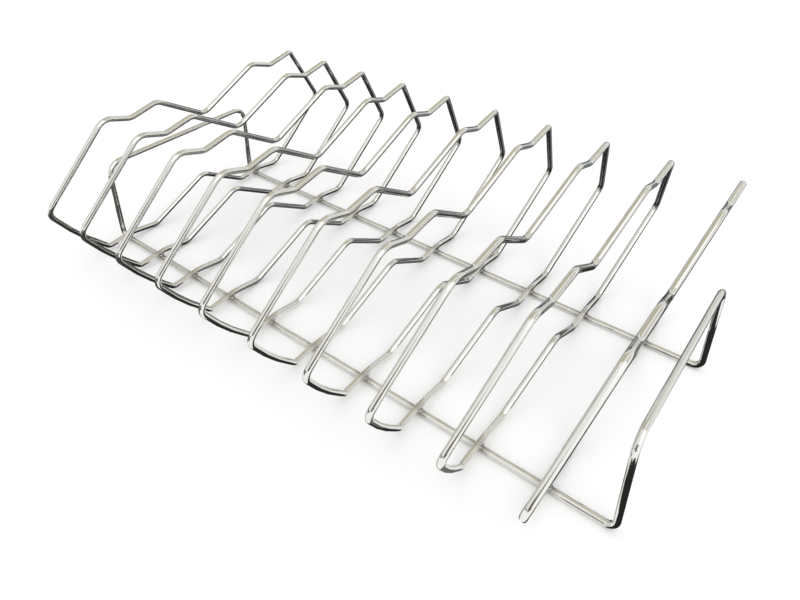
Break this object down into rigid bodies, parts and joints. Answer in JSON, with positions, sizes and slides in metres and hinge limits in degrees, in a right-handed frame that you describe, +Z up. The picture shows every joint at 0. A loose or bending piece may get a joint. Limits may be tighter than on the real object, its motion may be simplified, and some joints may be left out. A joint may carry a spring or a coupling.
{
  "type": "rib rack",
  "caption": "Free-standing welded wire rack that holds slabs of ribs on edge between leaning zigzag loops, with a lifting handle at each end.",
  "frame": {"origin": "centre of the rack's bounding box, on the surface it stands on", "axes": "+X along the rails, the way the loops lean; +Y across the rack, from the near rail to the far one; +Z up"},
  "size_m": [0.427, 0.2748, 0.1232],
  "materials": {
    "base_frame": "bright polished wire",
    "rib_loop_01": "bright polished wire",
    "rib_loop_02": "bright polished wire",
    "rib_loop_03": "bright polished wire",
    "rib_loop_04": "bright polished wire",
    "rib_loop_05": "bright polished wire",
    "rib_loop_06": "bright polished wire",
    "rib_loop_07": "bright polished wire",
    "rib_loop_08": "bright polished wire",
    "rib_loop_09": "bright polished wire",
    "rib_loop_10": "bright polished wire"
  },
  "bodies": {
    "root": {"base_frame": "base_frame", "rib_loop_01": "rib_loop_01", "rib_loop_02": "rib_loop_02", "rib_loop_03": "rib_loop_03", "rib_loop_04": "rib_loop_04", "rib_loop_05": "rib_loop_05", "rib_loop_06": "rib_loop_06", "rib_loop_07": "rib_loop_07", "rib_loop_08": "rib_loop_08", "rib_loop_09": "rib_loop_09", "rib_loop_10": "rib_loop_10"}
  },
  "joints": []
}
